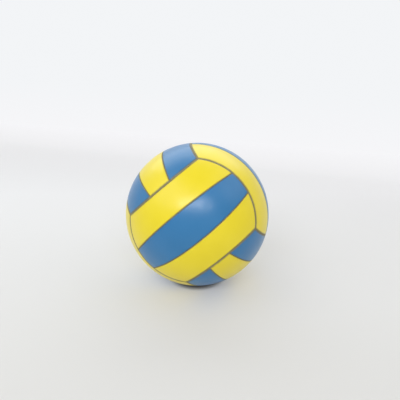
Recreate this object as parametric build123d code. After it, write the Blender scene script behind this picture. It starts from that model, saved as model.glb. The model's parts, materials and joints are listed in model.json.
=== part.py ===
from build123d import *
import os
from math import acos, asin, atan2, cos, sin, sqrt

# A mini water polo ball, in millimetres, with its origin at the ball's centre and +Z up.
# Eighteen cover panels are glued on a ribbed rubber carcass, over a thread winding, a bladder and a needle valve.
# The ball is built on its layout axes and turned as it lies at the end: X points out of the front face,
# Y runs along the front strips and Z across them.

# Outside size
BALL_DIAMETER = 132.0

# Panel layout, measured as arcs on the ball's surface
MIDDLE_STRIP_WIDTH = 28.7
MIDDLE_STRIP_END_WIDTH = 20.8
STRIP_SEAM_WIDTH = 1.0
FACE_SEAM_WIDTH = 1.6

# Cover panels
PANEL_THICKNESS = 1.5
PANEL_EDGE_ROUND = 0.5

# Layers under the panels, from the outside in
GLUE_LINE = 0.1
RIB_RECESS = 0.1
RIB_CLEARANCE = 0.1
CARCASS_WALL = 0.6
WINDING_THICKNESS = 0.5
BLADDER_WALL = 0.6

# Valve core, a soft plug that pulls out of the valve body
NEEDLE_BORE_DIAMETER = 2.4
NEEDLE_BORE_DEPTH = 8.0
FUNNEL_FLARE = 0.6
FUNNEL_DEPTH = 0.8
CORE_WALL = 1.3
CORE_SEAL_LENGTH = 3.0
CORE_TIP_LENGTH = 3.0
CORE_TIP_TAPER = 0.8
CORE_HEAD_OVERHANG = 1.0
CORE_HEAD_THICKNESS = 1.2
CORE_HEAD_ROUND = 0.3
SEAL_RING_COUNT = 3
SEAL_GROOVE_WIDTH = 0.8
SEAL_GROOVE_DEPTH = 0.3
SLIT_WIDTH = 0.3

# Valve body, bonded under the bladder
VALVE_RECESS = 0.3
CORE_CLEARANCE = 0.05
NECK_WALL = 1.5
NECK_HOLE_CLEARANCE = 0.15
NECK_EDGE_ROUND = 0.4
BODY_TAIL = 1.0
FLANGE_OVERHANG = 7.0
FLANGE_THICKNESS = 1.2

# How the ball lies, in degrees: the turn and the tilt of its front face, and the roll of that face's strips
FRONT_TURN = -6.9
FRONT_TILT = -13.8
STRIP_ROLL = -41.6

# Radii of the layers
BALL_RADIUS = BALL_DIAMETER / 2
PANEL_INNER = BALL_RADIUS - PANEL_THICKNESS
RIB_TOP = BALL_RADIUS - RIB_RECESS
CARCASS_OUTER = PANEL_INNER - GLUE_LINE
CARCASS_INNER = CARCASS_OUTER - CARCASS_WALL
WINDING_OUTER = CARCASS_INNER - GLUE_LINE
WINDING_INNER = WINDING_OUTER - WINDING_THICKNESS
BLADDER_OUTER = WINDING_INNER - GLUE_LINE
BLADDER_INNER = BLADDER_OUTER - BLADDER_WALL
FLANGE_OUTER = BLADDER_INNER - GLUE_LINE
FLANGE_INNER = FLANGE_OUTER - FLANGE_THICKNESS
CUTTER_RADIUS = BALL_RADIUS + PANEL_THICKNESS

# Sizes of the valve, across and along its axis
BORE_RADIUS = NEEDLE_BORE_DIAMETER / 2
SHANK_RADIUS = BORE_RADIUS + CORE_WALL
HEAD_RADIUS = SHANK_RADIUS + CORE_HEAD_OVERHANG
NECK_RADIUS = HEAD_RADIUS + CORE_CLEARANCE + NECK_WALL
FLANGE_RADIUS = NECK_RADIUS + FLANGE_OVERHANG
VALVE_TOP = BALL_RADIUS - VALVE_RECESS
SHANK_BOTTOM = VALVE_TOP - NEEDLE_BORE_DEPTH - CORE_SEAL_LENGTH
CORE_BOTTOM = SHANK_BOTTOM - CORE_TIP_LENGTH
BODY_BOTTOM = CORE_BOTTOM - BODY_TAIL

# A face is a round cap of the ball, cut by a plane of the cube inside it, less the caps beside its strips
CAP_ANGLE = acos(1 / sqrt(3))

# Each face's outward axis, the axis across its strips, and its strips' names from low to high
FACES = {
    "front": ((1, 0, 0), (0, 0, 1), ("lower", "middle", "upper")),
    "back": ((-1, 0, 0), (0, 0, 1), ("lower", "middle", "upper")),
    "right": ((0, 1, 0), (1, 0, 0), ("rear", "middle", "front")),
    "left": ((0, -1, 0), (1, 0, 0), ("rear", "middle", "front")),
    "top": ((0, 0, 1), (0, 1, 0), ("left", "middle", "right")),
    "bottom": ((0, 0, -1), (0, 1, 0), ("left", "middle", "right")),
}
STRIPS = ("low", "middle", "high")

# The valve sits in the middle of the back face
VALVE_PANEL = "back_middle_panel"
VALVE_SEAT = Plane(origin=(0, 0, 0), z_dir=(-1, 0, 0))

LIE = Rot(Z=FRONT_TURN) * Rot(X=FRONT_TILT) * Rot(Y=STRIP_ROLL) * Rot(Z=-90)


# Seams

def at_angle(radius, angle):
    """A point of a half section: its distance from the axis, and its height, at an angle from the axis."""
    return radius * sin(angle), radius * cos(angle)


def turned(outline):
    """A solid of revolution about Z from a closed half section."""
    return revolve(Plane.XZ * make_face(outline), Axis.Z)


def sector(axis, angle):
    """All of the ball within an angle of an axis: a cone from the centre with a round end."""
    rim = at_angle(CUTTER_RADIUS, angle)
    middle = at_angle(CUTTER_RADIUS, angle / 2)
    pole = at_angle(CUTTER_RADIUS, 0)
    outline = Line((0, 0), rim) + ThreePointArc(rim, middle, pole) + Line(pole, (0, 0))
    return Plane(origin=(0, 0, 0), z_dir=axis) * turned(outline)


def strip_seam():
    """Tilt of the plane that holds the seam beside a middle strip, and that plane's angle from the centre."""
    half_width = MIDDLE_STRIP_WIDTH / 2 / BALL_RADIUS
    half_end_width = MIDDLE_STRIP_END_WIDTH / 2 / BALL_RADIUS
    rise = sin(half_width) - sin(half_end_width)
    run = cos(half_width) - cos(CAP_ANGLE) * cos(half_end_width)
    tilt = atan2(rise, run)
    return tilt, half_width - tilt


def strip_plane(side, shift):
    """The plane of the high or low strip seam, shifted away from the middle strip by an angle."""
    tilt, angle = strip_seam()
    facing = Vector(-sin(tilt), 0, side * cos(tilt))
    return Plane(origin=facing * (BALL_RADIUS * sin(angle + shift)), z_dir=facing)


# Cover panels

def shell(outer, inner):
    """A hollow sphere with its poles on Y, where strips end, and its closing line on the side away from X."""
    return Rot(Z=180) * Rot(X=90) * (Sphere(outer) - Sphere(inner))


def strip_cell(strip, outer, inner, reach):
    """A patch of shell that fills one strip of the X face and reaches a little way into the seams around it."""
    strip_inset = (STRIP_SEAM_WIDTH / 2 - reach) / BALL_RADIUS
    face_inset = (FACE_SEAM_WIDTH / 2 - reach) / BALL_RADIUS
    cell = shell(outer, inner) & sector((1, 0, 0), CAP_ANGLE - face_inset)
    if strip == "middle":
        for side in (1, -1):
            cell = split(cell, bisect_by=strip_plane(side, -strip_inset), keep=Keep.BOTTOM)
        return cell
    side = 1 if strip == "high" else -1
    cell = split(cell, bisect_by=strip_plane(side, strip_inset), keep=Keep.TOP)
    return cell - sector((0, 0, side), CAP_ANGLE + face_inset)


def strip_panel(strip):
    """One cover panel of the X face, with its outer edges rounded."""
    panel = strip_cell(strip, BALL_RADIUS, PANEL_INNER, 0)
    outside = panel.faces().filter_by(GeomType.SPHERE).sort_by(SortBy.AREA)[-1]
    return fillet(outside.edges(), PANEL_EDGE_ROUND)


def on_every_face(make_strip):
    """The three strips of a face, made once and set on all six faces, by panel name."""
    strips = [make_strip(strip) for strip in STRIPS]
    placed = {}
    for face, (outward, across, names) in FACES.items():
        seat = Plane(origin=(0, 0, 0), x_dir=outward, z_dir=across)
        for strip, name in zip(strips, names):
            placed[f"{face}_{name}_panel"] = seat * strip
    return placed


def cover_panels():
    """The eighteen panels, one of them with a rounded valve hole."""
    panels = on_every_face(strip_panel)
    pierced = panels[VALVE_PANEL] - neck_hole()
    hole_edge = pierced.edges().sort_by_distance(VALVE_SEAT.z_dir * BALL_RADIUS)[0]
    panels[VALVE_PANEL] = fillet(hole_edge, PANEL_EDGE_ROUND)
    return panels


# Carcass, winding and bladder

def neck_hole():
    """The round hole in every layer that the valve's neck passes through."""
    hole = Cylinder(NECK_RADIUS + NECK_HOLE_CLEARANCE, BALL_DIAMETER)
    return VALVE_SEAT * Pos(Z=BALL_DIAMETER / 2) * hole


def ribbed_carcass():
    """The moulded carcass: a thin rubber ball with ribs that stand in the seams between the panels."""
    def panel_seat(strip):
        return strip_cell(strip, BALL_RADIUS, CARCASS_OUTER, RIB_CLEARANCE)

    seats = list(on_every_face(panel_seat).values())
    return shell(RIB_TOP, CARCASS_INNER) - seats - neck_hole()


def plain_layer(outer, inner):
    """A hollow layer with the neck hole."""
    return shell(outer, inner) - neck_hole()


# Valve, drawn upright about Z and set on its seat

def valve_body():
    """A rubber body: a dished flange under the bladder, a neck through every layer, and a stepped bore."""
    def dish(radius, from_angle, to_angle):
        middle = at_angle(radius, (from_angle + to_angle) / 2)
        return ThreePointArc(at_angle(radius, from_angle), middle, at_angle(radius, to_angle))

    rim_angle = asin(FLANGE_RADIUS / FLANGE_OUTER)
    under_angle = asin(NECK_RADIUS / FLANGE_INNER)
    over_angle = asin(NECK_RADIUS / FLANGE_OUTER)
    bore = SHANK_RADIUS + CORE_CLEARANCE
    head_bore = HEAD_RADIUS + CORE_CLEARANCE
    head_seat = VALVE_TOP - CORE_HEAD_THICKNESS - CORE_CLEARANCE
    under = dish(FLANGE_INNER, under_angle, rim_angle)
    over = dish(FLANGE_OUTER, rim_angle, over_angle)
    outline = Polyline((bore, head_seat), (bore, BODY_BOTTOM), (NECK_RADIUS, BODY_BOTTOM), under @ 0)
    outline += [under, Line(under @ 1, over @ 0), over]
    outline += Polyline(
        over @ 1,
        (NECK_RADIUS, VALVE_TOP),
        (head_bore, VALVE_TOP),
        (head_bore, head_seat),
        (bore, head_seat),
    )
    body = turned(outline)
    ends = body.edges().filter_by(GeomType.CIRCLE).group_by(Axis.Z)
    outer_ends = [end.sort_by(SortBy.RADIUS)[-1] for end in (ends[0], ends[-1])]
    return VALVE_SEAT * fillet(outer_ends, NECK_EDGE_ROUND)


def valve_core():
    """A soft plug with a flanged head, sealing rings, a funnelled needle bore and a slit tip."""
    bore_bottom = VALVE_TOP - NEEDLE_BORE_DEPTH
    head_bottom = VALVE_TOP - CORE_HEAD_THICKNESS
    outline = Polyline(
        (0, bore_bottom),
        (BORE_RADIUS, bore_bottom),
        (BORE_RADIUS, VALVE_TOP - FUNNEL_DEPTH),
        (BORE_RADIUS + FUNNEL_FLARE, VALVE_TOP),
        (HEAD_RADIUS, VALVE_TOP),
        (HEAD_RADIUS, head_bottom),
        (SHANK_RADIUS, head_bottom),
        (SHANK_RADIUS, SHANK_BOTTOM),
        (SHANK_RADIUS - CORE_TIP_TAPER, CORE_BOTTOM),
        (0, CORE_BOTTOM),
        close=True,
    )
    core = turned(outline)
    top_rim = core.edges().group_by(Axis.Z)[-1].sort_by(SortBy.RADIUS)[-1]
    core = fillet(top_rim, CORE_HEAD_ROUND)
    groove = Cylinder(HEAD_RADIUS, SEAL_GROOVE_WIDTH)
    groove -= Cylinder(SHANK_RADIUS - SEAL_GROOVE_DEPTH, SEAL_GROOVE_WIDTH)
    ring_spacing = (head_bottom - SHANK_BOTTOM) / (SEAL_RING_COUNT + 1)
    for ring in range(SEAL_RING_COUNT):
        core -= Pos(Z=head_bottom - (ring + 1) * ring_spacing) * groove
    slit = Box(SLIT_WIDTH, NEEDLE_BORE_DIAMETER, bore_bottom - CORE_BOTTOM)
    core -= Pos(Z=(bore_bottom + CORE_BOTTOM) / 2) * slit
    return VALVE_SEAT * core


def ball():
    """Every piece of the ball by name, on its layout axes."""
    return {
        **cover_panels(),
        "ribbed_carcass": ribbed_carcass(),
        "thread_winding": plain_layer(WINDING_OUTER, WINDING_INNER),
        "bladder": plain_layer(BLADDER_OUTER, BLADDER_INNER),
        "valve_body": valve_body(),
        "valve_core": valve_core(),
    }


os.makedirs("parts", exist_ok=True)
for piece_name, piece in ball().items():
    export_step(LIE * piece, f"parts/{piece_name}.step")
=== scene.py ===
"""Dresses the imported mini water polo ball.

The cover's panels and the needle valve get meshes of their own, the layers under the cover keep the
frame's solids, and the ball lies on a white sweep under soft boxes.
"""

import json
import logging
import math
from dataclasses import dataclass
from enum import Enum

import bmesh
import bpy
from bmesh.types import BMEdge, BMesh, BMFace, BMVert
from bpy.types import Material, Node, NodeSocket, Object
from mathutils import Matrix, Vector


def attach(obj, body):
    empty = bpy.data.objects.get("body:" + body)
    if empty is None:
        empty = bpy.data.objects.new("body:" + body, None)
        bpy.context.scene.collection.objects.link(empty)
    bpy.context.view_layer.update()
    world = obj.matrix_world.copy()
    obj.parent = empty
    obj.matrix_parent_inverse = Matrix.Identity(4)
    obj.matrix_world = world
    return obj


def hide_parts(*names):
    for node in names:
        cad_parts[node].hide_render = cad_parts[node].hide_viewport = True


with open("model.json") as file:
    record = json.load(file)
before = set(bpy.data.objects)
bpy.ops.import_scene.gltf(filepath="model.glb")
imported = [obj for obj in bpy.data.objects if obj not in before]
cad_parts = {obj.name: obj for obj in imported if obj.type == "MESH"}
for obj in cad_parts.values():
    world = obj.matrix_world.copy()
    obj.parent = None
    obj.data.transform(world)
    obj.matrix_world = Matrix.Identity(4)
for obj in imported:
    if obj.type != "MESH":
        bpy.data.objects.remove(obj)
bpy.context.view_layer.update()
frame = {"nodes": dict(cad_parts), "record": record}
MM = 0.001
MERGE_DISTANCE = 0.001 * MM
BALL = "ball"
VALVE_CORE = "valve_core"
RIM = "rim"
SEAM_SHADE_AND_STAIN = "seam_shade_and_stain"
UPRIGHT = "upright"
OWN_LIGHT = "own_light"

Colour = tuple[float, float, float, float]
Triple = tuple[float, float, float]
Span = tuple[float, float]
Profile = list[tuple[float, float]]
ZERO_TO_ONE: Span = (0.0, 1.0)

log = logging.getLogger("water_polo_ball")


class Tint(Enum):
    """The two colours of the cover, by the record's material slot."""

    YELLOW = "yellow_cover"
    BLUE = "blue_cover"


class LampTint(Enum):
    """The colours of the lamps."""

    WHITE = (1.0, 1.0, 1.0)
    COOL = (0.92, 0.98, 1.0)


class Strip(Enum):
    """A strip's place across its face, from low to high."""

    LOW = 0
    MIDDLE = 1
    HIGH = 2


class Face(Enum):
    """A face of the cover: the axis out of it, the axis across its strips, and its strips' names.

    The axes are signed letters of the layout, whose X points out of the front face, Y along that
    face's strips and Z across them. The names run from the low strip to the high one.
    """

    FRONT = ("+X", "+Z", ("lower", "middle", "upper"))
    BACK = ("-X", "+Z", ("lower", "middle", "upper"))
    RIGHT = ("+Y", "+X", ("rear", "middle", "front"))
    LEFT = ("-Y", "+X", ("rear", "middle", "front"))
    TOP = ("+Z", "+Y", ("left", "middle", "right"))
    BOTTOM = ("-Z", "+Y", ("left", "middle", "right"))

    @property
    def outward(self) -> Vector:
        """The layout axis that points out of the face."""
        return layout_axis(self.value[0])

    @property
    def across(self) -> Vector:
        """The layout axis across the face's strips."""
        return layout_axis(self.value[1])

    def node(self, strip: Strip) -> str:
        """The name of a strip's solid in the frame."""
        return f"{self.name.lower()}_{self.value[2][strip.value]}_panel"

    def middle(self) -> Vector:
        """The middle of the face's middle solid in the frame."""
        return surface_centre(self.node(Strip.MIDDLE))

    def tint(self, strip: Strip) -> Tint:
        """Finds the colour of a strip. Top and bottom have the colours the other way round.

        Args:
            strip: the strip.

        Returns:
            The colour.
        """
        is_middle = strip is Strip.MIDDLE
        is_end_face = self in (Face.TOP, Face.BOTTOM)
        return Tint.BLUE if is_middle != is_end_face else Tint.YELLOW


def layout_axis(letters: str) -> Vector:
    """Turns a signed letter into a unit vector.

    Args:
        letters: a sign and a letter, such as "-Y".

    Returns:
        The unit vector along that axis.
    """
    axis = Vector((0.0, 0.0, 0.0))
    axis["XYZ".index(letters[1])] = 1.0 if letters[0] == "+" else -1.0
    return axis


def surface_centre(node: str) -> Vector:
    """Finds the middle of a solid's surface.

    Args:
        node: a node of the frame.

    Returns:
        The mean of its faces' centres, weighted by their areas.
    """
    total, area = Vector((0.0, 0.0, 0.0)), 0.0
    for polygon in frame["nodes"][node].data.polygons:
        total += polygon.center * polygon.area
        area += polygon.area
    return total / area


def round_edges(
    shape: BMesh, edges: list[BMEdge], size: float, segments: int, clamped: bool = False
) -> None:
    """Rounds edges of a shape.

    Args:
        shape: the shape.
        edges: the edges.
        size: how far the rounding reaches from an edge.
        segments: how many faces it has across.
        clamped: whether it stays narrower where there is no room for it.
    """
    bmesh.ops.bevel(
        shape,
        geom=edges,
        offset=size,
        segments=segments,
        profile=0.5,
        affect="EDGES",
        material=-1,
        clamp_overlap=clamped,
    )


def finished_piece(name: str, shape: BMesh, material: Material) -> Object:
    """Makes a smooth-shaded object of a finished shape and frees the shape.

    Args:
        name: the piece's name.
        shape: the shape, already in its place.
        material: the finish of all its faces.

    Returns:
        The new object, at the origin.
    """
    bmesh.ops.recalc_face_normals(shape, faces=shape.faces[:])
    mesh = bpy.data.meshes.new(name)
    shape.to_mesh(mesh)
    shape.free()
    mesh.polygons.foreach_set("use_smooth", [True] * len(mesh.polygons))
    mesh.materials.append(material)
    piece = bpy.data.objects.new(name, mesh)
    bpy.context.scene.collection.objects.link(piece)
    return piece


@dataclass(frozen=True)
class Noise:
    """A noise pattern: features to a metre, finer layers, and how strong those layers are."""

    scale: float
    detail: float
    roughness: float = 0.5


@dataclass(frozen=True)
class Relief:
    """A pattern that stands up in bumps: their height in metres, and how much of it shows."""

    pattern: Noise
    depth: float
    strength: float


class NodeTree:
    """A short way to write a material's nodes."""

    def __init__(self, name: str) -> None:
        """Starts a material with a bare Principled shader.

        Args:
            name: the material's name.
        """
        self.material = bpy.data.materials.new(name)
        self.material.use_nodes = True
        self.tree = self.material.node_tree
        self.shader = self.tree.nodes["Principled BSDF"]

    def add(self, kind: str, links: dict | None = None, **settings: object) -> Node:
        """Adds a node.

        Args:
            kind: the node's type, without its ShaderNode prefix.
            links: input socket, by name or number, to an output socket or a plain value.
            settings: the node's own properties.

        Returns:
            The new node.
        """
        node = self.tree.nodes.new("ShaderNode" + kind)
        for key, value in settings.items():
            setattr(node, key, value)
        for key, value in (links or {}).items():
            self.feed(node.inputs[key], value)
        return node

    def feed(self, socket: NodeSocket, value: object) -> None:
        """Links an output to a socket, or sets the socket to a plain value.

        Args:
            socket: the input.
            value: an output socket, or a value.
        """
        if isinstance(value, NodeSocket):
            self.tree.links.new(value, socket)
        else:
            socket.default_value = value

    def shade(self, links: dict) -> Material:
        """Feeds the shader's inputs.

        Args:
            links: input name to an output socket or a plain value.

        Returns:
            The material.
        """
        for key, value in links.items():
            self.feed(self.shader.inputs[key], value)
        return self.material

    def object_place(self) -> NodeSocket:
        """The point's place in metres, as the pattern's coordinates."""
        return self.add("TexCoord").outputs["Object"]

    def attribute(self, name: str) -> NodeSocket:
        """The value of an attribute of the mesh."""
        return self.add("Attribute", attribute_name=name).outputs["Fac"]

    def product(self, first: NodeSocket, second: NodeSocket) -> NodeSocket:
        """One value times another."""
        return self.add("Math", {0: first, 1: second}, operation="MULTIPLY").outputs["Value"]

    def larger(self, first: NodeSocket, second: NodeSocket) -> NodeSocket:
        """The larger of two values."""
        return self.add("Math", {0: first, 1: second}, operation="MAXIMUM").outputs["Value"]

    def noise(self, pattern: Noise) -> NodeSocket:
        """Adds a noise pattern.

        Args:
            pattern: the pattern.

        Returns:
            The pattern's value, about 0 to 1.
        """
        links = {
            "Vector": self.object_place(),
            "Scale": pattern.scale,
            "Detail": pattern.detail,
            "Roughness": pattern.roughness,
        }
        return self.add("TexNoise", links).outputs["Fac"]

    def spread(self, value: NodeSocket, span: Span, onto: Span = ZERO_TO_ONE) -> NodeSocket:
        """Stretches one range of a value onto another.

        Args:
            value: the value.
            span: where the range starts and ends.
            onto: what its start and its end become.

        Returns:
            The stretched value, held inside the new range.
        """
        links = {
            "Value": value,
            "From Min": span[0],
            "From Max": span[1],
            "To Min": onto[0],
            "To Max": onto[1],
        }
        return self.add("MapRange", links).outputs["Result"]

    def blend(self, share: NodeSocket, first: object, second: object) -> NodeSocket:
        """Mixes two colours.

        Args:
            share: how much of the second colour there is.
            first: the first colour, or its socket.
            second: the second colour, or its socket.

        Returns:
            The mixed colour.
        """
        node = self.add("Mix", data_type="RGBA")
        colour_in = [socket for socket in node.inputs if socket.type == "RGBA"]
        self.feed(node.inputs["Factor"], share)
        self.feed(colour_in[0], first)
        self.feed(colour_in[1], second)
        return [socket for socket in node.outputs if socket.type == "RGBA"][0]

    def bump(
        self, height: NodeSocket, depth: float, strength: float, under: NodeSocket | None = None
    ) -> NodeSocket:
        """Adds a bump.

        Args:
            height: the bump's height, 0 to 1.
            depth: how high 1 stands, in metres.
            strength: how much of it shows.
            under: the normal of a bump below this one.

        Returns:
            The bumped normal.
        """
        links = {"Height": height, "Distance": depth, "Strength": strength}
        if under is not None:
            links["Normal"] = under
        return self.add("Bump", links).outputs["Normal"]

    def relief(self, relief: Relief, under: NodeSocket | None = None) -> NodeSocket:
        """The normal of a relief, over that of a bump below it."""
        return self.bump(self.noise(relief.pattern), relief.depth, relief.strength, under)


@dataclass(frozen=True)
class CoverRubber:
    """Satin moulded rubber: a little mottled, finely grained, grimy at the seams, and darker along
    the face seams, partly real staining and partly painted shade of a groove.
    """

    name: str
    colour: Colour
    faded: Colour
    grimy: Colour
    seam_shade_and_stain_colour: Colour = (0.12, 0.105, 0.06, 1.0)
    mottle: Noise = Noise(45.0, 3.0)
    mottle_span: Span = (0.35, 0.7)
    speckle: Noise = Noise(360.0, 4.0, 0.65)
    grime_span: Span = (0.4, 0.7)
    grime_share: Span = (0.05, 0.3)
    seam_shade_and_stain_span: Span = (0.0, 0.5)
    seam_patch_span: Span = (0.35, 0.65)
    seam_patch_share: Span = (0.3, 0.6)
    smear: Noise = Noise(135.0, 5.0, 0.6)
    smear_span: Span = (0.3, 0.7)
    roughness: float = 0.33
    roughness_swing: float = 0.05
    wave: Relief = Relief(Noise(160.0, 2.0), 0.05 * MM, 0.5)
    grain: Relief = Relief(Noise(1500.0, 2.0), 0.012 * MM, 0.6)
    gloss: float = 0.6
    bloom: float = 0.08
    bloom_roughness: float = 0.45

    def make(self) -> Material:
        """Builds the material.

        Returns:
            The material.
        """
        nodes = NodeTree(self.name)
        mottle = nodes.spread(nodes.noise(self.mottle), self.mottle_span)
        base = nodes.blend(mottle, self.colour, self.faded)
        speckle = nodes.noise(self.speckle)
        grime = nodes.spread(speckle, self.grime_span, self.grime_share)
        base = nodes.blend(nodes.product(nodes.attribute(RIM), grime), base, self.grimy)
        # Painted seam shade, partly real staining: patches darker along the face seams, as a groove
        # there would be in shade.
        seam_shade_and_stain = nodes.spread(nodes.attribute(SEAM_SHADE_AND_STAIN), self.seam_shade_and_stain_span)
        seam_patches = nodes.spread(speckle, self.seam_patch_span, self.seam_patch_share)
        base = nodes.blend(nodes.product(seam_shade_and_stain, seam_patches), base, self.seam_shade_and_stain_colour)
        rough = nodes.spread(
            nodes.noise(self.smear),
            self.smear_span,
            (self.roughness - self.roughness_swing, self.roughness + self.roughness_swing),
        )
        return nodes.shade(
            {
                "Base Color": base,
                "Roughness": rough,
                "Normal": nodes.relief(self.grain, under=nodes.relief(self.wave)),
                "Specular IOR Level": self.gloss,
                "Sheen Weight": self.bloom,
                "Sheen Roughness": self.bloom_roughness,
            }
        )


@dataclass(frozen=True)
class DarkRubber:
    """Plain dark rubber, dusty in patches."""

    name: str
    colour: Colour
    dusty: Colour
    dust: Noise = Noise(250.0, 4.0, 0.6)
    dust_span: Span = (0.45, 0.75)
    rough_span: Span = (0.3, 0.7)
    roughness: float = 0.6
    clean_smoother: float = 0.08
    dust_rougher: float = 0.1
    grain: Relief = Relief(Noise(2500.0, 2.0), 0.02 * MM, 0.6)

    def make(self) -> Material:
        """Builds the material.

        Returns:
            The material.
        """
        nodes = NodeTree(self.name)
        dust = nodes.noise(self.dust)
        base = nodes.blend(nodes.spread(dust, self.dust_span), self.colour, self.dusty)
        rough = nodes.spread(
            dust,
            self.rough_span,
            (self.roughness - self.clean_smoother, self.roughness + self.dust_rougher),
        )
        grain = nodes.relief(self.grain)
        return nodes.shade({"Base Color": base, "Roughness": rough, "Normal": grain})


@dataclass(frozen=True)
class WoundThread:
    """Nylon thread wound in crossing turns, set in glue."""

    name: str
    colour: Colour
    shadow: Colour
    turns: tuple[Triple, ...] = ((0.6, 0.2, 0.0), (-0.5, 0.4, 0.9), (0.3, -0.7, 0.5))
    turns_scale: float = 420.0
    turns_distortion: float = 1.5
    thread_depth: float = 0.15 * MM
    thread_strength: float = 0.8
    roughness: float = 0.7

    def make(self) -> Material:
        """Builds the material.

        Returns:
            The material.
        """
        nodes = NodeTree(self.name)
        place = nodes.object_place()
        crossing = None
        for turn in self.turns:
            turned = nodes.add("Mapping", {"Vector": place, "Rotation": turn}).outputs["Vector"]
            links = {
                "Vector": turned,
                "Scale": self.turns_scale,
                "Distortion": self.turns_distortion,
            }
            height = nodes.add("TexWave", links).outputs["Fac"]
            crossing = height if crossing is None else nodes.larger(crossing, height)
        base = nodes.blend(crossing, self.shadow, self.colour)
        normal = nodes.bump(crossing, self.thread_depth, self.thread_strength)
        return nodes.shade({"Base Color": base, "Roughness": self.roughness, "Normal": normal})


@dataclass(frozen=True)
class PaleSweep:
    """The pale matt board of the floor and backdrop, a little brighter towards the back: the floor
    is painted darker and warmer towards the front, as painted shade where the light falls off.

    The wall shows a light of its own, and so does the floor in part, more of it near the wall's
    foot,
    where that is painted light over the shadow the wall casts. The floor has a painted contact
    shadow:
    it is darker where something stands close over it, so that a piece's foot is seen to touch it.
    """

    name: str
    front: Colour
    back: Colour
    wall: Colour
    wall_base: Colour
    depth_span: Span = (-0.18, 0.22)
    base_top: float = 0.06
    floor_share: float = 0.3
    painted_shadow_reach: float = 7.5 * MM
    painted_shadow_samples: int = 16
    painted_shadow_span: Span = (0.22, 0.65)
    contact_shade: float = 0.01
    roughness: float = 0.8

    def floor_colour(self, nodes: NodeTree, depth: NodeSocket) -> NodeSocket:
        """Works out the floor's colour, with painted shade towards the front and a painted contact
        shadow.

        Args:
            nodes: the material's nodes.
            depth: how far back the point lies.

        Returns:
            The colour.
        """
        # Painted shade: the floor is darker and warmer towards the front, where the light falls
        # off.
        floor = nodes.blend(nodes.spread(depth, self.depth_span), self.front, self.back)
        reach = {"Distance": self.painted_shadow_reach}
        # Painted contact shadow: ambient occlusion darkens the floor's colour where something
        # stands close over it.
        open_sky = nodes.add("AmbientOcclusion", reach, samples=self.painted_shadow_samples).outputs["AO"]
        contact = nodes.spread(open_sky, self.painted_shadow_span, (self.contact_shade, 1.0))
        shaded = nodes.add("VectorMath", {0: floor, "Scale": contact}, operation="SCALE")
        return shaded.outputs["Vector"]

    def own_light_share(self, nodes: NodeTree, upright: NodeSocket) -> NodeSocket:
        """Works out how much of what is seen is the sweep's own light.

        The camera sees that light on the whole sweep, and mirroring pieces see it on the wall.

        Args:
            nodes: the material's nodes.
            upright: how upright the sweep is, from 0 on the floor to 1 on the wall.

        Returns:
            The share.
        """
        path = nodes.add("LightPath").outputs
        mirrored_wall = nodes.product(path["Is Glossy Ray"], upright)
        seen = nodes.larger(path["Is Camera Ray"], mirrored_wall)
        glow = nodes.attribute(OWN_LIGHT)
        own_light = nodes.spread(glow, ZERO_TO_ONE, (self.floor_share, 1.0))
        return nodes.product(own_light, seen)

    def make(self) -> Material:
        """Builds the material.

        Returns:
            The material.
        """
        nodes = NodeTree(self.name)
        place = nodes.add("SeparateXYZ", {"Vector": nodes.object_place()}).outputs
        floor = self.floor_colour(nodes, place["Y"])
        nodes.shade({"Base Color": floor, "Roughness": self.roughness})
        upright = nodes.attribute(UPRIGHT)
        height = nodes.spread(place["Z"], (-self.base_top, self.base_top))
        wall = nodes.blend(height, self.wall_base, self.wall)
        lit = nodes.add("Emission", {"Color": nodes.blend(upright, floor, wall), "Strength": 1.0})
        links = {
            0: self.own_light_share(nodes, upright),
            1: nodes.shader.outputs["BSDF"],
            2: lit.outputs["Emission"],
        }
        both = nodes.add("MixShader", links)
        output = nodes.tree.nodes["Material Output"]
        nodes.feed(output.inputs["Surface"], both.outputs["Shader"])
        return nodes.material


@dataclass(frozen=True)
class SeamLine:
    """A line along a strip: the angle where it crosses the face's middle, and its plane's tilt."""

    angle: float
    tilt: float

    def towards(self, other: "SeamLine", share: float) -> "SeamLine":
        """The line that lies a share of the way to another one."""
        return SeamLine(
            self.angle + (other.angle - self.angle) * share,
            self.tilt + (other.tilt - self.tilt) * share,
        )

    def point(self, along: float, end_height: float) -> Vector:
        """Finds a point of the line on a ball of radius 1, whose face looks along X.

        Args:
            along: from -1 at one end of the strip to 1 at the other.
            end_height: the height along X at which the strips end.

        Returns:
            The point.
        """
        lift = math.sin(self.angle - self.tilt)
        reach = math.cos(self.angle - self.tilt)
        normal = Vector((-math.sin(self.tilt), 0.0, math.cos(self.tilt)))
        crest = Vector((math.cos(self.tilt), 0.0, math.sin(self.tilt)))
        end_rise = end_height + lift * math.sin(self.tilt)
        turn = along * math.acos(end_rise / (reach * math.cos(self.tilt)))
        sideways = Vector((0.0, reach * math.sin(turn), 0.0))
        return normal * lift + crest * (reach * math.cos(turn)) + sideways


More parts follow.
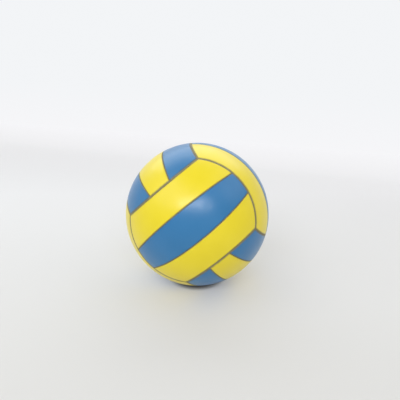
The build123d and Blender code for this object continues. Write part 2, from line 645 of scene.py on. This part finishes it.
@dataclass
class Cover:
    """The eighteen cover panels, laid over the ball as the frame's solids are."""

    radius: float
    lie: Matrix
    valve_hole_radius: float = 5.2 * MM
    thickness: float = 1.5 * MM
    strip_seam: float = 1.0 * MM
    face_seam: float = 1.6 * MM
    middle_width: float = 28.7 * MM
    middle_end_width: float = 20.8 * MM
    edge_round: float = 0.5 * MM
    edge_segments: int = 4
    cells_along: int = 72
    cells_across: int = 24
    hole_cells_along: int = 4
    hole_cells_across: int = 5
    hole_blend: float = 2.0
    grime_width: float = 2.5 * MM
    border: float = 1.0 * MM
    cap_angle: float = math.acos(1 / math.sqrt(3))

    @classmethod
    def from_frame(cls) -> "Cover":
        """Reads the ball's radius and the way it lies from the frame.

        Returns:
            The cover.
        """
        front = (Face.FRONT.middle() - Face.BACK.middle()).normalized()
        right = Face.RIGHT.middle() - Face.LEFT.middle()
        right = (right - front * right.dot(front)).normalized()
        lie = Matrix((front, right, front.cross(right))).transposed()
        points = frame["nodes"][Face.FRONT.node(Strip.MIDDLE)].data.vertices
        return cls(radius=max(point.co.length for point in points), lie=lie)

    def seat(self, face: Face) -> Matrix:
        """The turn that takes a strip of the X face to another face, as the ball lies."""
        along = face.across.cross(face.outward)
        return (self.lie @ Matrix((face.outward, along, face.across)).transposed()).to_4x4()

    def strip_edges(self, strip: Strip) -> tuple[SeamLine, SeamLine]:
        """Finds the two long edges of a strip's panel.

        Args:
            strip: the strip.

        Returns:
            The low edge and the high edge.
        """
        strip_inset = self.strip_seam / 2 / self.radius
        face_inset = self.face_seam / 2 / self.radius
        half = self.middle_width / 2 / self.radius
        half_end = self.middle_end_width / 2 / self.radius
        rise = math.sin(half) - math.sin(half_end)
        run = math.cos(half) - math.cos(self.cap_angle) * math.cos(half_end)
        tilt = math.atan2(rise, run)
        if strip is Strip.MIDDLE:
            return SeamLine(strip_inset - half, -tilt), SeamLine(half - strip_inset, tilt)
        seam_edge = SeamLine(half + strip_inset, tilt)
        face_edge = SeamLine(math.pi / 2 - self.cap_angle - face_inset, 0.0)
        if strip is Strip.HIGH:
            return seam_edge, face_edge
        return SeamLine(-face_edge.angle, 0.0), SeamLine(-seam_edge.angle, -seam_edge.tilt)

    def panel_skin(self, strip: Strip, has_valve: bool) -> BMesh:
        """Lays a grid over one strip of the X face, with its nearness to the seams in attributes.

        Args:
            strip: the strip.
            has_valve: whether the valve's hole is in its middle.

        Returns:
            The panel's outer skin.
        """
        low, high = self.strip_edges(strip)
        end_height = math.cos(self.cap_angle - self.face_seam / 2 / self.radius)
        skin = bmesh.new()
        bmesh.ops.create_grid(
            skin, x_segments=self.cells_along, y_segments=self.cells_across, size=1.0
        )
        middle_end = low.towards(high, 0.5).point(1.0, end_height)
        half_length = middle_end.angle(Vector((1.0, 0.0, 0.0))) * self.radius
        half_width = (high.angle - low.angle) / 2 * self.radius
        for vert in skin.verts:
            vert.co.x = self.inside_border(vert.co.x, self.cells_along, half_length)
            vert.co.y = self.inside_border(vert.co.y, self.cells_across, half_width)
        if has_valve:
            self.open_valve_hole(skin, half_length, half_width)
        rim = skin.verts.layers.float.new(RIM)
        seam_shade_and_stain = skin.verts.layers.float.new(SEAM_SHADE_AND_STAIN)
        for vert in skin.verts:
            along, across = vert.co.x, vert.co.y
            from_end = (1 - abs(along)) * half_length
            from_side = (1 - abs(across)) * half_width
            from_face_seam = from_end
            if strip is not Strip.MIDDLE and (across > 0) == (strip is Strip.HIGH):
                from_face_seam = min(from_end, from_side)
            vert[rim] = max(0.0, 1 - min(from_end, from_side) / self.grime_width)
            # Nearness to a face seam, for the painted seam shade that is partly staining.
            vert[seam_shade_and_stain] = max(0.0, 1 - from_face_seam / self.border)
            line = low.towards(high, (across + 1) / 2)
            vert.co = line.point(along, end_height) * self.radius
        return skin

    def inside_border(self, place: float, cells: int, half_size: float) -> float:
        """Spreads even grid lines so that the outermost cells are a narrow border.

        Args:
            place: an even grid line's place, from -1 to 1.
            cells: how many cells there are from -1 to 1.
            half_size: the real length of half the grid.

        Returns:
            The line's new place.
        """
        last_line = 1 - 2 / cells
        if abs(place) > 1 - 1 / cells:
            return place
        return place / last_line * (1 - self.border / half_size)

    def open_valve_hole(self, skin: BMesh, half_length: float, half_width: float) -> None:
        """Takes a block of cells out of a flat grid and draws the cells around it into a circle.

        Args:
            skin: the grid, from -1 to 1 both ways.
            half_length: half the panel's length.
            half_width: half the panel's width.
        """
        even_along = self.hole_cells_along * 2 / self.cells_along
        even_across = self.hole_cells_across * 2 / self.cells_across
        block_along = self.inside_border(even_along, self.cells_along, half_length)
        block_across = self.inside_border(even_across, self.cells_across, half_width)
        inside = []
        for face in skin.faces:
            middle = face.calc_center_median()
            if abs(middle.x) < block_along and abs(middle.y) < block_across:
                inside.append(face)
        bmesh.ops.delete(skin, geom=inside, context="FACES")
        for vert in skin.verts:
            away = max(abs(vert.co.x) / block_along, abs(vert.co.y) / block_across)
            if away > self.hole_blend:
                continue
            share = (away - 1) / (self.hole_blend - 1)
            eased = share * share * (3 - 2 * share)
            turn = math.atan2(vert.co.y / block_across, vert.co.x / block_along)
            round_x = self.valve_hole_radius * math.cos(turn) / half_length
            round_y = self.valve_hole_radius * math.sin(turn) / half_width
            vert.co = Vector((round_x, round_y, 0.0)).lerp(vert.co, eased)

    def panel(self, face: Face, strip: Strip, has_valve: bool) -> BMesh:
        """Builds one panel with rounded outer edges.

        Args:
            face: the face.
            strip: the strip.
            has_valve: whether the valve's hole is in it.

        Returns:
            The panel's shape, in its place.
        """
        shape = self.panel_skin(strip, has_valve)
        outer_edges = [edge for edge in shape.edges if edge.is_boundary]
        skin = shape.faces[:]
        inner = bmesh.ops.extrude_face_region(shape, geom=skin, use_keep_orig=True)["geom"]
        inner_verts = [item for item in inner if isinstance(item, BMVert)]
        shrink = Matrix.Scale((self.radius - self.thickness) / self.radius, 4)
        bmesh.ops.transform(shape, matrix=shrink, verts=inner_verts)
        round_edges(shape, outer_edges, self.edge_round, self.edge_segments)
        bmesh.ops.transform(shape, matrix=self.seat(face), verts=shape.verts[:])
        return shape

    def build(self, finishes: dict[Tint, Material]) -> None:
        """Builds and dresses all panels.

        Args:
            finishes: the material of each colour.
        """
        for face in Face:
            for strip in Strip:
                node, tint = face.node(strip), face.tint(strip)
                has_valve = face is Face.BACK and strip is Strip.MIDDLE
                shape = self.panel(face, strip, has_valve)
                piece = finished_piece(f"cover_{node}", shape, finishes[tint])
                even = piece.modifiers.new("even_normals", "WEIGHTED_NORMAL")
                even.keep_sharp = True
                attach(piece, BALL)
                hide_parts(node)
                faces = len(piece.data.polygons)
                log.info("%s: %d faces, %s", piece.name, faces, tint.name.lower())


@dataclass
class InnerLayers:
    """The layers under the cover, which keep the frame's solids and get finishes of their own."""

    crease_angle: float = math.radians(30)

    def dress(self, finishes: dict[str, Material]) -> None:
        """Gives each layer its finish and smooth shading between its creases.

        Args:
            finishes: the material of each node.
        """
        for node, material in finishes.items():
            layer = frame["nodes"][node]
            layer.data.materials.clear()
            layer.data.materials.append(material)
            layer.data.polygons.foreach_set("use_smooth", [True] * len(layer.data.polygons))
            weld = layer.modifiers.new("weld", "WELD")
            weld.merge_threshold = MERGE_DISTANCE
            crease = layer.modifiers.new("crease", "EDGE_SPLIT")
            crease.split_angle = self.crease_angle
            log.info("%s: dressed", node)


@dataclass
class Valve:
    """The needle valve: a body bonded in the ball and a core that pulls out of it."""

    radius: float
    axis: Vector
    recess: float = 0.3 * MM
    clearance: float = 0.05 * MM
    bore_radius: float = 1.2 * MM
    bore_depth: float = 8.0 * MM
    funnel_flare: float = 0.6 * MM
    funnel_depth: float = 0.8 * MM
    shank_radius: float = 2.5 * MM
    head_radius: float = 3.5 * MM
    head_thickness: float = 1.2 * MM
    shank_length: float = 11.0 * MM
    tip_length: float = 3.0 * MM
    tip_taper: float = 0.8 * MM
    groove_count: int = 3
    groove_width: float = 0.8 * MM
    groove_depth: float = 0.3 * MM
    neck_radius: float = 5.05 * MM
    body_length: float = 15.0 * MM
    flange_radius: float = 12.05 * MM
    flange_depth: float = 3.6 * MM
    flange_thickness: float = 1.2 * MM
    flange_steps: int = 6
    edge_round: float = 0.25 * MM
    edge_segments: int = 3
    sharp_angle: float = math.radians(35)
    slit_width: float = 0.3 * MM
    slit_length: float = 1.84 * MM
    slit_cut_distance: float = 0.0001 * MM
    steps: int = 72

    @property
    def top(self) -> float:
        """How far the valve's top lies from the ball's centre."""
        return self.radius - self.recess

    def is_sharp(self, edge: BMEdge) -> bool:
        """Whether two faces meet in a clear corner at an edge."""
        return len(edge.link_faces) == 2 and edge.calc_face_angle() > self.sharp_angle

    def turned(self, profile: Profile, closed: bool) -> BMesh:
        """Spins a profile about Z, rounds its sharp edges and joins roundings that meet.

        Args:
            profile: points by their distance from the axis and their height from the ball's centre.
            closed: whether the last point joins the first.

        Returns:
            The shape, upright on Z.
        """
        shape = bmesh.new()
        verts = [shape.verts.new((reach, 0.0, height)) for reach, height in profile]
        edges = [shape.edges.new(pair) for pair in zip(verts, verts[1:])]
        if closed:
            edges.append(shape.edges.new((verts[-1], verts[0])))
        bmesh.ops.spin(
            shape,
            geom=verts + edges,
            axis=(0, 0, 1),
            cent=(0, 0, 0),
            angle=2 * math.pi,
            steps=self.steps,
            use_merge=True,
        )
        bmesh.ops.remove_doubles(shape, verts=shape.verts[:], dist=MERGE_DISTANCE)
        bmesh.ops.recalc_face_normals(shape, faces=shape.faces[:])
        sharp = [edge for edge in shape.edges if self.is_sharp(edge)]
        round_edges(shape, sharp, self.edge_round, self.edge_segments, clamped=True)
        bmesh.ops.remove_doubles(shape, verts=shape.verts[:], dist=MERGE_DISTANCE)
        return shape

    def open_slit(self, core: BMesh) -> None:
        """Cuts the slit that lets air through from the bottom of the needle bore to the tip.

        Args:
            core: the core, upright on Z, with a flat end at its bore's bottom and one at its tip.
        """
        on_axis = [vert for vert in core.verts if vert.co.xy.length < MERGE_DISTANCE]
        bmesh.ops.dissolve_verts(core, verts=on_axis)
        ends = [face for face in core.faces if len(face.verts) == self.steps]
        half_width, half_length = self.slit_width / 2, self.slit_length / 2
        for normal, reach in (((1, 0, 0), half_width), ((0, 1, 0), half_length)):
            for side in (-1, 1):
                edges = {edge for face in ends for edge in face.edges}
                verts = {vert for face in ends for vert in face.verts}
                cut = bmesh.ops.bisect_plane(
                    core,
                    geom=[*ends, *edges, *verts],
                    dist=self.slit_cut_distance,
                    plane_co=Vector(normal) * (side * reach),
                    plane_no=normal,
                )
                ends = [item for item in cut["geom"] if isinstance(item, BMFace)]
        mouths = []
        for face in ends:
            middle = face.calc_center_median()
            if abs(middle.x) < half_width and abs(middle.y) < half_length:
                mouths.append(face)
        lips = [edge for face in mouths for edge in face.edges]
        bmesh.ops.delete(core, geom=mouths, context="FACES_ONLY")
        walls = bmesh.ops.bridge_loops(core, edges=lips)["faces"]
        for edge in {edge for wall in walls for edge in wall.edges}:
            edge.smooth = False

    def core_profile(self) -> Profile:
        """Lays out the core's half section, from the bottom of its needle bore round to its tip.

        Returns:
            The section's points.
        """
        top = self.top
        head_bottom = top - self.head_thickness
        shank_bottom = top - self.shank_length
        tip = shank_bottom - self.tip_length
        profile = [
            (0.0, top - self.bore_depth),
            (self.bore_radius, top - self.bore_depth),
            (self.bore_radius, top - self.funnel_depth),
            (self.bore_radius + self.funnel_flare, top),
            (self.head_radius, top),
            (self.head_radius, head_bottom),
            (self.shank_radius, head_bottom),
        ]
        spacing = (head_bottom - shank_bottom) / (self.groove_count + 1)
        groove_corners = ((0, 1), (self.groove_depth, 1), (self.groove_depth, -1), (0, -1))
        for groove in range(self.groove_count):
            middle = head_bottom - (groove + 1) * spacing
            for depth, side in groove_corners:
                profile.append((self.shank_radius - depth, middle + side * self.groove_width / 2))
        profile.append((self.shank_radius, shank_bottom))
        profile.append((self.shank_radius - self.tip_taper, tip))
        profile.append((0.0, tip))
        return profile

    def body_profile(self) -> Profile:
        """Lays out the body's half section, from its bore round its neck and flange.

        Returns:
            The section's points.
        """
        top = self.top
        bottom = top - self.body_length
        bore = self.shank_radius + self.clearance
        head_bore = self.head_radius + self.clearance
        head_seat = top - self.head_thickness - self.clearance
        flange_outer = self.radius - self.flange_depth
        flange_inner = flange_outer - self.flange_thickness
        flange_width = self.flange_radius - self.neck_radius
        outwards = range(self.flange_steps + 1)
        profile = [(bore, head_seat), (bore, bottom), (self.neck_radius, bottom)]
        for level, order in ((flange_inner, outwards), (flange_outer, reversed(outwards))):
            for step in order:
                reach = self.neck_radius + flange_width * step / self.flange_steps
                profile.append((reach, math.sqrt(level**2 - reach**2)))
        profile += [(self.neck_radius, top), (head_bore, top), (head_bore, head_seat)]
        return profile

    def build(self, body_finish: Material, core_finish: Material) -> None:
        """Builds and dresses the valve's two pieces.

        Args:
            body_finish: the body's material.
            core_finish: the core's material.
        """
        body_shape = self.turned(self.body_profile(), closed=True)
        core_shape = self.turned(self.core_profile(), closed=False)
        self.open_slit(core_shape)
        pieces = (
            ("valve_body", BALL, "valve_rubber", body_shape, body_finish),
            ("valve_core", VALVE_CORE, "core_rubber", core_shape, core_finish),
        )
        on_axis = self.axis.to_track_quat("Z", "Y").to_matrix().to_4x4()
        for node, body, slot, shape, finish in pieces:
            bmesh.ops.transform(shape, matrix=on_axis, verts=shape.verts[:])
            piece = finished_piece(f"turned_{node}", shape, finish)
            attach(piece, body)
            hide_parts(node)
            log.info("%s: %d faces", piece.name, len(piece.data.polygons))


@dataclass(frozen=True)
class SweepPoint:
    """A point of the sweep's section: its place, how upright the sweep is, and its own light."""

    away: float
    up: float
    upright: float
    own_light: float


@dataclass
class Stage:
    """The floor and backdrop in one white sweep, whose wall stands a little askew."""

    floor_height: float
    wall_distance: float = 0.38
    wall_turn: float = math.radians(-18.0)
    cove_radius: float = 0.035
    front_reach: float = 1.6
    half_width: float = 2.0
    wall_height: float = 0.3
    cove_steps: int = 24
    painted_light_reach: float = 0.2
    painted_light_at_foot: float = 0.8

    def section(self) -> list[SweepPoint]:
        """Lays out the sweep's section, from the front of the floor to the top of the wall.

        Returns:
            The section's points.
        """
        cove_start = self.wall_distance - self.cove_radius
        # The floor's own light ramps up over its last stretch before the wall: painted light over
        # the shadow that the wall casts on the floor.
        points = [
            SweepPoint(-self.front_reach, 0.0, 0.0, 0.0),
            SweepPoint(self.wall_distance - self.painted_light_reach, 0.0, 0.0, 0.0),
        ]
        for step in range(self.cove_steps + 1):
            share = step / self.cove_steps
            turn = math.pi / 2 * share
            away = cove_start + self.cove_radius * math.sin(turn)
            up = self.cove_radius * (1 - math.cos(turn))
            glow = self.painted_light_at_foot + (1 - self.painted_light_at_foot) * share
            points.append(SweepPoint(away, up, share, glow))
        points.append(SweepPoint(self.wall_distance, self.wall_height, 1.0, 1.0))
        return points

    def build(self, finish: Material) -> None:
        """Builds the sweep by drawing its section out to both sides.

        Args:
            finish: the sweep's material.
        """
        shape = bmesh.new()
        upright = shape.verts.layers.float.new(UPRIGHT)
        own_light = shape.verts.layers.float.new(OWN_LIGHT)
        verts = []
        for point in self.section():
            place = (-self.half_width, point.away, self.floor_height + point.up)
            vert = shape.verts.new(place)
            vert[upright] = point.upright
            vert[own_light] = point.own_light
            verts.append(vert)
        edges = [shape.edges.new(pair) for pair in zip(verts, verts[1:])]
        drawn = bmesh.ops.extrude_edge_only(shape, edges=edges)["geom"]
        moved = [item for item in drawn if isinstance(item, BMVert)]
        bmesh.ops.translate(shape, vec=(2 * self.half_width, 0, 0), verts=moved)
        askew = Matrix.Rotation(self.wall_turn, 3, "Z")
        bmesh.ops.rotate(shape, cent=(0, 0, 0), matrix=askew, verts=shape.verts[:])
        sweep = finished_piece("white_sweep", shape, finish)
        log.info("%s: floor at %.4f m", sweep.name, self.floor_height)


@dataclass(frozen=True)
class SoftBox:
    """A soft light that points at the ball: place, width and height, power in watts, and tint."""

    name: str
    place: Triple
    size: tuple[float, float]
    power: float
    tint: LampTint

    def hang(self) -> None:
        """Adds the lamp to the scene."""
        lamp = bpy.data.lights.new(self.name, "AREA")
        lamp.shape = "RECTANGLE"
        lamp.size, lamp.size_y = self.size
        lamp.energy = self.power
        lamp.color = self.tint.value
        holder = bpy.data.objects.new(self.name, lamp)
        holder.location = self.place
        holder.rotation_mode = "QUATERNION"
        holder.rotation_quaternion = (-Vector(self.place)).to_track_quat("-Z", "Y")
        bpy.context.scene.collection.objects.link(holder)


@dataclass(frozen=True)
class Lighting:
    """Soft boxes over the back, to both sides and over the camera, in an even pale surround."""

    boxes: tuple[SoftBox, ...] = (
        SoftBox("over_back", (0.0, 0.95, 0.92), (2.4, 0.9), 11.2, LampTint.COOL),
        SoftBox("up_left", (-1.05, -0.5, 1.15), (1.2, 1.2), 6.5, LampTint.COOL),
        SoftBox("up_right", (1.0, -0.2, 1.1), (1.0, 1.0), 2.6, LampTint.WHITE),
        SoftBox("over_camera", (-0.09, -0.86, 0.7), (0.95, 0.18), 5.7, LampTint.WHITE),
    )
    surround: float = 0.38
    surround_colour: Colour = (1.0, 0.97, 0.93, 1.0)
    seen_colour: Colour = (0.895, 0.91, 0.928, 1.0)

    def build(self) -> None:
        """Adds the lamps and the surround.

        The camera and mirroring pieces see the surround in a colour of its own.
        """
        for box in self.boxes:
            box.hang()
        world = bpy.data.worlds.new("pale_surround")
        world.use_nodes = True
        tree = world.node_tree
        around = tree.nodes["Background"]
        around.inputs["Color"].default_value = self.surround_colour
        around.inputs["Strength"].default_value = self.surround
        seen = tree.nodes.new("ShaderNodeBackground")
        seen.inputs["Color"].default_value = self.seen_colour
        path = tree.nodes.new("ShaderNodeLightPath")
        direct = tree.nodes.new("ShaderNodeMath")
        direct.operation = "MAXIMUM"
        both = tree.nodes.new("ShaderNodeMixShader")
        tree.links.new(path.outputs["Is Camera Ray"], direct.inputs[0])
        tree.links.new(path.outputs["Is Glossy Ray"], direct.inputs[1])
        tree.links.new(direct.outputs["Value"], both.inputs[0])
        tree.links.new(around.outputs["Background"], both.inputs[1])
        tree.links.new(seen.outputs["Background"], both.inputs[2])
        tree.links.new(both.outputs["Shader"], tree.nodes["World Output"].inputs["Surface"])
        bpy.context.scene.world = world


@dataclass
class PhotoCamera:
    """A camera that sees the ball as the photograph does."""

    ball_radius: float
    frame_pixels: float = 400.0
    ball_pixel_x: float = 197.3
    ball_pixel_y: float = 213.8
    outline_pixels: float = 71.4
    distance_in_radii: float = 6.18
    elevation: float = math.radians(24)
    sensor: float = 36.0
    nearest: float = 0.01
    farthest: float = 20.0

    def build(self) -> None:
        """Adds the camera and makes it the scene's own."""
        focal_pixels = self.outline_pixels * math.sqrt(self.distance_in_radii**2 - 1)
        data = bpy.data.cameras.new("photo_camera")
        data.sensor_width = self.sensor
        data.lens = self.sensor * focal_pixels / self.frame_pixels
        data.clip_start, data.clip_end = self.nearest, self.farthest
        back = Vector((0.0, -math.cos(self.elevation), math.sin(self.elevation)))
        place = back * self.distance_in_radii * self.ball_radius
        turn = (-back).to_track_quat("-Z", "Y").to_matrix()
        yaw = math.atan((self.frame_pixels / 2 - self.ball_pixel_x) / focal_pixels)
        pitch = math.atan((self.ball_pixel_y - self.frame_pixels / 2) / focal_pixels)
        turn = turn @ Matrix.Rotation(-yaw, 3, "Y") @ Matrix.Rotation(pitch, 3, "X")
        camera = bpy.data.objects.new("photo_camera", data)
        camera.matrix_world = Matrix.Translation(place) @ turn.to_4x4()
        bpy.context.scene.collection.objects.link(camera)
        bpy.context.scene.camera = camera


def needle_axis() -> Vector:
    """The axis of the needle bore, from the record's mount."""
    mounts = {mount["name"]: mount for mount in frame["record"]["mounts"]}
    return Vector(mounts["needle_bore"]["axis"])


def main() -> None:
    """Builds the ball's pieces in order, then the stage, the light and the camera."""
    logging.basicConfig(level=logging.INFO, format="%(name)s: %(message)s")
    bpy.context.scene.view_settings.view_transform = "Standard"
    yellow = CoverRubber(
        "yellow_rubber",
        colour=(0.81, 0.655, 0.002, 1),
        faded=(0.84, 0.685, 0.01, 1),
        grimy=(0.5, 0.4, 0.03, 1),
    )
    blue = CoverRubber(
        "blue_rubber",
        colour=(0.012, 0.158, 0.376, 1),
        faded=(0.018, 0.17, 0.396, 1),
        grimy=(0.02, 0.1, 0.22, 1),
    )
    cover = Cover.from_frame()
    cover.build({Tint.YELLOW: yellow.make(), Tint.BLUE: blue.make()})
    carcass = DarkRubber(
        "carcass_rubber",
        colour=(0.2, 0.18, 0.09, 1),
        dusty=(0.26, 0.235, 0.13, 1),
    )
    winding = WoundThread(
        "winding_thread",
        colour=(0.72, 0.7, 0.63, 1),
        shadow=(0.3, 0.27, 0.2, 1),
    )
    bladder = DarkRubber(
        "bladder_rubber",
        colour=(0.02, 0.02, 0.02, 1),
        dusty=(0.12, 0.12, 0.115, 1),
    )
    layers = {"ribbed_carcass": carcass, "thread_winding": winding, "bladder": bladder}
    InnerLayers().dress({node: finish.make() for node, finish in layers.items()})
    body_finish = DarkRubber(
        "valve_rubber",
        colour=(0.025, 0.025, 0.025, 1),
        dusty=(0.06, 0.06, 0.055, 1),
    )
    core_finish = DarkRubber(
        "core_rubber",
        colour=(0.06, 0.06, 0.06, 1),
        dusty=(0.1, 0.1, 0.095, 1),
        roughness=0.5,
    )
    Valve(cover.radius, needle_axis()).build(body_finish.make(), core_finish.make())
    sweep = PaleSweep(
        "pale_sweep",
        front=(0.69, 0.684, 0.672, 1),
        back=(0.85, 0.85, 0.862, 1),
        wall=(0.895, 0.91, 0.928, 1),
        wall_base=(0.93, 0.925, 0.945, 1),
    )
    Stage(floor_height=-cover.radius).build(sweep.make())
    Lighting().build()
    PhotoCamera(cover.radius).build()


if __name__ == "__main__":
    main()
